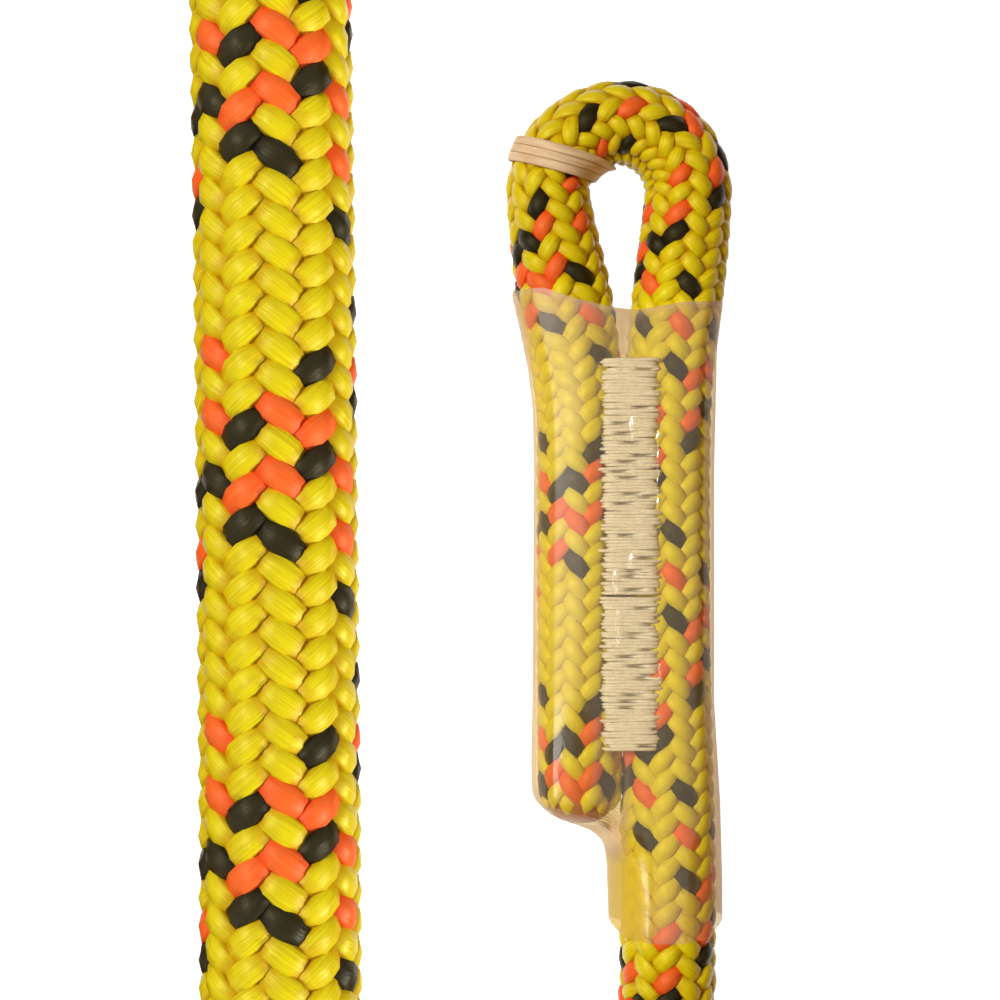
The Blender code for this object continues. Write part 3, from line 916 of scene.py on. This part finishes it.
# %% Heat-shrink sleeve
SLEEVE_LEFT = [
    (25.6, 1.4), (21.0, 2.45), (16.1, 3.45), (11.1, 4.05), (3.7, 4.2), (-24.8, 4.0),
    (-32.2, 3.85), (-36.2, 3.95), (-37.4, 4.35), (-38.4, 5.3), (-39.1, 6.3), (-39.6, 7.65),
    (-40.0, 8.85), (-40.5, 10.4), (-41.0, 11.4), (-41.9, 12.2), (-42.8, 12.8), (-45.2, 13.2),
    (-52.6, 13.4), (-56.0, 14.6),
]
SLEEVE_RIGHT = [
    (25.6, 27.7), (18.6, 26.8), (3.7, 26.45), (-24.8, 26.45), (-37.1, 27.2), (-47.0, 27.45),
    (-52.2, 27.45), (-56.0, 26.6),
]
SLEEVE_MOUTH = [
    (1.0, 24.6), (2.1, 25.5), (5.3, 25.6), (9.2, 24.2), (13.2, 23.2), (16.6, 22.8),
    (19.8, 23.4), (22.1, 23.9), (28.0, 24.1),
]
SLEEVE_FOOT = [
    (13.0, -51.0), (13.6, -51.9), (15.0, -53.0), (18.0, -53.3), (21.6, -53.3), (25.0, -52.9),
    (26.4, -52.0), (28.0, -51.0),
]
MOUTH_RISE_AT_BACK = 1.5
SLEEVE_HALF_HEIGHT = 6.45
SLEEVE_ROWS = 160
SLEEVE_SIDES = 360
SLEEVE_ENDS = (25.0, -55.0)
SLEEVE_FLATNESS = 1.6
STITCH_SAG = 0.25
STITCH_SAG_EDGES = (11.7, 19.9)
SAG_EDGE_WIDTHS = (1.1, 0.8)
STITCH_SAG_ENDS = (-37, 21)
SAG_END_LENGTH = 4
CREASES = [
    (16.1, 10.8, 6.2), (17.0, 5.6, 4.0), (19.2, 9.3, -2.7), (17.2, -4.0, -5.6),
    (16.0, -5.8, -9.2), (14.1, -8.0, -11.8), (14.4, -12.4, -18.0), (19.4, -19.0, -22.9),
]
CREASE_WIDTH = 1.1
CREASE_HEIGHT = 0.3
CREASE_SWAYS = ((0.12, 2.3, 1), (0.06, 5.9, 0))
RIPPLES = [(0.9, 0.31, 0.4), (-0.5, 0.47, 2.1), (1.3, -0.22, 4.4), (0.2, 0.83, 5.5)]
RIPPLE_HEIGHT = 0.04
SHORT_LEG_LINE = [(8, 9.9), (20, 8.89), (25, 8.0), (30, 7.03)]
LONG_LEG_LINE = [(8, 20.7), (20, 21.39), (25, 21.97), (30, 22.55)]
LEG_HALF_WIDTH = 5.4
# At the mouth and at the foot the film is hazier and painted browner, as painted shade.
LOOSE_AND_SHADED_AT_MOUTH = (17.0, 25.0, 0.45)
LOOSE_AND_SHADED_AT_FOOT = (-43.0, -53.0, 0.5)
MOUTH_EDGE_WIDTH = 1.8
BESIDE_FROM = -0.7
BESIDE_WIDTH = 1.3
SEWN_STRETCH = (-31.0, 17.7)
SEWN_HALF_WIDTH = 3
FILLED_MOST = 0.7
FILLED_EDGES = ((18.3, 3), (-42.3, 2.5))
DULL_EDGES = ((12, 3), (-27, 6))
HAZE_ON_ROPE = 0.1
# The extra haze where the film stands off the rope, which with its browner tint there is painted
# shade.
HAZE_AND_SHADE_WHERE_LOOSE = 0.24
HAZE_WHERE_STEEP = 0.4
MIRROR_FACE_ON = 0.045
MIRROR_WHERE_GRAZING = 0.4
GLOSS_ROUGHNESS = 0.11
GLOSS_WHERE_DULL = 0.32
WRINKLES_PER_METRE = 700.0
WRINKLE_RELIEF = 0.1


def between(knots, values):
    at, result = np.array(sorted(knots)).T
    return np.interp(values, at, result)


def sleeve_section(turn, half_width, half_height):
    """A point on a flat-sided oval, by its turn. Works on whole arrays."""
    radius = np.minimum(half_width, half_height)
    flat_part = (half_width - radius) * np.clip(np.cos(turn) * SLEEVE_FLATNESS, -1, 1)
    return radius * np.cos(turn) + flat_part, half_height * np.sin(turn)


def make_film_material():
    material, tree, haze = new_material("clear amber heat shrink", Roughness=0.4)
    haze.inputs["Specular IOR Level"].default_value = 0.0
    # Where the film stands off the rope it is hazier, and its haze and tint are browner: that brown
    # is painted shade.
    loose_and_shaded = add_node(tree, "Attribute", attribute_name="loose_and_shaded").outputs["Fac"]
    milk = add_node(tree, "ValToRGB", {"Fac": loose_and_shaded})
    milk.color_ramp.elements[0].color = linear("#e8ca98")
    milk.color_ramp.elements[1].color = linear("#e8d2ac")
    tree.links.new(milk.outputs["Color"], haze.inputs["Base Color"])
    facing = add_node(tree, "LayerWeight", {"Blend": 0.5}).outputs["Facing"]
    steep = add_node(tree, "Math", {0: facing, 1: 3.0}, operation="POWER").outputs[0]
    amount = add_node(
        tree, "Math", {0: loose_and_shaded, 1: HAZE_AND_SHADE_WHERE_LOOSE, 2: HAZE_ON_ROPE}, operation="MULTIPLY_ADD"
    ).outputs[0]
    amount = add_node(
        tree, "Math", {0: steep, 1: HAZE_WHERE_STEEP, 2: amount}, operation="MULTIPLY_ADD"
    ).outputs[0]
    # The tint's browner end, where the film stands off the rope, is painted shade.
    amber = add_node(tree, "ValToRGB", {"Fac": loose_and_shaded})
    amber.color_ramp.elements[0].color = linear("#fbf3cc")
    amber.color_ramp.elements[1].color = linear("#f0dab4")
    tint = add_node(tree, "BsdfTransparent", {"Color": amber.outputs["Color"]}).outputs[0]
    film = add_node(tree, "MixShader", {0: amount, 1: tint, 2: haze.outputs[0]}).outputs[0]
    filled = add_node(tree, "Attribute", attribute_name="filled").outputs["Fac"]
    adhesive = add_node(tree, "BsdfDiffuse", {"Color": linear("#eccb3a")}).outputs[0]
    film = add_node(tree, "MixShader", {0: filled, 1: film, 2: adhesive}).outputs[0]
    grazing = add_node(tree, "Math", {0: facing, 1: 5.0}, operation="POWER").outputs[0]
    mirrored = add_node(
        tree,
        "Math",
        {0: grazing, 1: MIRROR_WHERE_GRAZING, 2: MIRROR_FACE_ON},
        operation="MULTIPLY_ADD",
    ).outputs[0]
    place = add_node(tree, "TexCoord").outputs["Object"]
    wrinkles = add_node(
        tree, "TexNoise", {"Vector": place, "Scale": WRINKLES_PER_METRE, "Detail": 2.0}
    ).outputs["Fac"]
    relief = {"Height": wrinkles, "Strength": 0.35, "Distance": WRINKLE_RELIEF * MM}
    bump = add_node(tree, "Bump", relief)
    dull = add_node(tree, "Attribute", attribute_name="dull").outputs["Fac"]
    roughness = add_node(
        tree, "Math", {0: dull, 1: GLOSS_WHERE_DULL, 2: GLOSS_ROUGHNESS}, operation="MULTIPLY_ADD"
    ).outputs[0]
    gloss = add_node(
        tree, "BsdfAnisotropic", {"Roughness": roughness, "Normal": bump.outputs["Normal"]}
    ).outputs[0]
    film = add_node(tree, "MixShader", {0: mirrored, 1: film, 2: gloss}).outputs[0]
    from_lamp = add_node(tree, "LightPath").outputs["Is Shadow Ray"]
    nothing = add_node(tree, "BsdfTransparent").outputs[0]
    film = add_node(tree, "MixShader", {0: from_lamp, 1: film, 2: nothing}).outputs[0]
    tree.links.new(film, tree.nodes["Material Output"].inputs["Surface"])
    return material


def ripple(x, y):
    """The film's faint waves, in millimetres."""
    return sum(np.sin(a * x + b * y + c) for a, b, c in RIPPLES) * RIPPLE_HEIGHT / 2


def stitch_sag(x, y):
    """How far the film sags between the stitching's two long edges."""
    left, right = STITCH_SAG_EDGES
    left_width, right_width = SAG_EDGE_WIDTHS
    low, high = STITCH_SAG_ENDS
    across = soft_steps((x - left) / left_width) * soft_steps((right - x) / right_width)
    along = soft_steps((y - low) / SAG_END_LENGTH) * soft_steps((high - y) / SAG_END_LENGTH)
    return STITCH_SAG * across * along


def creases(x, y):
    """Thin upright ridges in the film over the stitching, a little crooked."""
    height = 0 * x
    for at, top, bottom in CREASES:
        middle = at + sum(sway * np.sin(bends * y + own * at) for sway, bends, own in CREASE_SWAYS)
        across = 1 - soft_steps(np.abs(x - middle) / (CREASE_WIDTH / 2))
        height = height + across * soft_steps(top - y) * soft_steps(y - bottom)
    return CREASE_HEIGHT * height


def looseness_and_shade(x, y):
    """How far the film stands off the rope, seen from above: 0 on the rope and 1 beside it. It sets
    the film's haze and its painted shade, a browner tint.
    """
    dome = np.clip((SHORT_LEG_END_Y - y) / SHORT_END_SIZE[2], 0, 1)
    short_half_width = LEG_HALF_WIDTH * np.sqrt(1 - dome**2)
    from_short = np.abs(x - between(SHORT_LEG_LINE, y)) - short_half_width
    from_long = np.abs(x - between(LONG_LEG_LINE, y)) - LEG_HALF_WIDTH
    beside = soft_steps((np.minimum(from_short, from_long) - BESIDE_FROM) / BESIDE_WIDTH)
    low, high = SEWN_STRETCH
    at_seam = soft_steps(SEWN_HALF_WIDTH - np.abs(x - SEAM_X))
    sewn = soft_steps(y - low) * soft_steps(high - y) * at_seam
    loose_and_shaded = beside * (1 - sewn)
    for start, end, most in (LOOSE_AND_SHADED_AT_MOUTH, LOOSE_AND_SHADED_AT_FOOT):
        loose_and_shaded = np.maximum(loose_and_shaded, most * soft_steps((y - start) / (end - start)))
    from_edge = between(SLEEVE_MOUTH, x) - y
    return np.maximum(loose_and_shaded, soft_steps(1 - from_edge / MOUTH_EDGE_WIDTH))


def adhesive_fill(x, y):
    """Where adhesive fills the film's foot on its left, so that the rope looks blurred and wide."""
    (right, right_width), (top, top_width) = FILLED_EDGES
    return FILLED_MOST * soft_steps((right - x) / right_width) * soft_steps((top - y) / top_width)


def dullness(x, y):
    """The film is least glossy on the upper part of the short leg."""
    (right, right_width), (low, low_width) = DULL_EDGES
    return soft_steps((right - x) / right_width) * soft_steps((y - low) / low_width)


def make_sleeve():
    net = flat_net(SLEEVE_ROWS, SLEEVE_SIDES)
    share, turn = net_places(net)
    start_y, end_y = SLEEVE_ENDS
    y = start_y + (end_y - start_y) * share
    # The ends depend on x and the sides on y, so both are worked out twice.
    for _ in range(2):
        left, right = between(SLEEVE_LEFT, y), between(SLEEVE_RIGHT, y)
        x, z = sleeve_section(turn, (right - left) / 2, SLEEVE_HALF_HEIGHT)
        x = x + (left + right) / 2
        mouth = between(SLEEVE_MOUTH, x) + MOUTH_RISE_AT_BACK * soft_steps(-2 * np.sin(turn))
        y = mouth * (1 - share) + between(SLEEVE_FOOT, x) * share
    z = z * (1 - (stitch_sag(x, y) - ripple(x, y) - creases(x, y)) / SLEEVE_HALF_HEIGHT)
    laid = np.stack([x, y, EYE_Z + z], axis=1)
    for name, kind in (("loose_and_shaded", looseness_and_shade), ("filled", adhesive_fill), ("dull", dullness)):
        net.attributes.new(name, "FLOAT", "POINT").data.foreach_set("value", kind(x, y))
    bm = bmesh.new()
    roll_up(bm, net, laid, 0, uv_size=(80.0, 60.0))
    bpy.data.meshes.remove(net)
    replaced = ("shrink_sleeve",)
    finish_piece("sleeve_film", bm, [make_film_material()], replaced=replaced)


make_sleeve()

# %% [markdown]
# ## Keeper band
# A flat tan rubber band with two fine grooves, whose darker brown is painted
# shade. It is the one moving piece, and every point of it stays on a ring round
# the crown's axis.

# %% Keeper band
BAND_WIDTH = 3.25
BAND_ANGLE = math.radians(165.0)
BAND_PASSES_AXIS_AT = 2.0
BAND_TILT = 0.9
BAND_INNER = (5.35, 5.9)
BAND_WALL = 0.35
BAND_RINGS = 64
GROOVE_SEGMENTS = (3, 4, 6, 7)
BAND_PROFILE = [
    (-1.0, 0.0), (-1.0, 0.22), (-0.92, 0.33), (-0.38, 0.35), (-0.33, 0.29), (-0.28, 0.35),
    (0.28, 0.35), (0.33, 0.29), (0.38, 0.35), (0.92, 0.33), (1.0, 0.22), (1.0, 0.0),
]


def make_band_material(name, light, dark):
    material, tree, shader = new_material(name, Roughness=0.55)
    place = add_node(tree, "TexCoord").outputs["UV"]
    stretched = add_node(
        tree, "Mapping", {"Vector": place, "Scale": (0.25, 3.0, 1.0)}
    ).outputs["Vector"]
    noise = {"Scale": 1.0, "Detail": 2.0}
    mottle(tree, shader, stretched, dark, light, noise, ends=(0.35, 0.65))
    return material


def make_band():
    count = len(BAND_PROFILE)
    net = flat_net(BAND_RINGS, count)
    share, turn = net_places(net)
    point = np.rint(turn / (2 * math.pi) * count).astype(int) % count
    profile = np.array(BAND_PROFILE)[point]
    round_rope = 2 * math.pi * share
    across = (BAND_INNER[0] + profile[:, 1]) * np.cos(round_rope)
    up = (BAND_INNER[1] + profile[:, 1]) * np.sin(round_rope)
    reach = CROWN_RADIUS + across
    angle = BAND_ANGLE - np.arcsin(np.minimum(BAND_PASSES_AXIS_AT / reach, 1))
    tilt = BAND_TILT * up / (BAND_INNER[1] + BAND_WALL)
    angle += (tilt + profile[:, 0] * BAND_WIDTH / 2) / reach
    x = CROWN_CENTRE.x + reach * np.cos(angle)
    y = CROWN_CENTRE.y + reach * np.sin(angle)
    segment = np.rint(face_places(net)[1] / (2 * math.pi) * count - 0.5).astype(int) % count
    in_groove = np.isin(segment, GROOVE_SEGMENTS).astype(int)
    laid = np.stack([x, y, EYE_Z + up], axis=1)
    bm = bmesh.new()
    roll_up(bm, net, laid, in_groove, uv_size=(36.0, 7.0))
    bpy.data.meshes.remove(net)
    # The second material is the grooves' painted shade: the same tan rubber, painted darker brown.
    materials = [
        make_band_material("tan rubber", "#f9dcb0", "#e2bc8e"),
        make_band_material("tan rubber with painted shade in the grooves", "#cea46c", "#b58850"),
    ]
    finish_piece("band", bm, materials, body=BAND_BODY, replaced=("keeper_band",))


make_band()

# %% [markdown]
# ## Fused ends and core
# The short leg's end is a melted dome, which closes the braid under the film.
# The core strands inside the sheath and the fused free end have the right
# shapes in the construction already, and get materials only.

# %% Core strands and the fused ends
CORE_SPECKS_PER_METRE = 900.0
FUSED_SPECKS_PER_METRE = 400.0
SHORT_END_RINGS = 24


def make_core_material():
    material, tree, shader = new_material("white nylon core yarn", Roughness=0.6)
    place = add_node(tree, "TexCoord").outputs["Object"]
    noise = {"Scale": CORE_SPECKS_PER_METRE, "Detail": 2.0}
    mottle(tree, shader, place, "#cfcbc0", "#f2efe6", noise)
    return material


def make_fused_material(name, dark, light):
    material, tree, shader = new_material(name, Roughness=0.3)
    place = add_node(tree, "TexCoord").outputs["Object"]
    mottle(tree, shader, place, dark, light, {"Scale": FUSED_SPECKS_PER_METRE, "Detail": 3.0})
    return material


def make_short_end():
    net = flat_net(SHORT_END_RINGS, SHORT_END_RINGS)
    share, turn = net_places(net)
    angle = share * math.pi / 2
    size = np.where(share == 0, 0, np.cbrt(np.clip(1 - np.sin(angle) ** 3, 0, 1)))
    x = SHORT_LEG_X + SHORT_END_SIZE[0] * size * np.cos(turn)
    z = EYE_Z + SHORT_END_SIZE[1] * size * np.sin(turn)
    y = SHORT_LEG_END_Y - SHORT_END_SIZE[2] * np.sin(angle)
    laid = np.stack([x, y, z], axis=1)
    bm = bmesh.new()
    roll_up(bm, net, laid, 0, uv_size=(9.0, 30.0))
    bpy.data.meshes.remove(net)
    red_brown = make_fused_material("fused nylon of the short end", "#9a4a26", "#d48a5c")
    finish_piece("short_end", bm, [red_brown], replaced=("short_end_seal",))


core_yarn = make_core_material()
fused_nylon = make_fused_material("fused nylon", "#5c4410", "#b8901c")
make_short_end()
for name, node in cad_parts.items():
    if name.startswith("core_strand"):
        node.material_slots[0].material = core_yarn
    if name == "free_end_seal":
        node.material_slots[0].material = fused_nylon
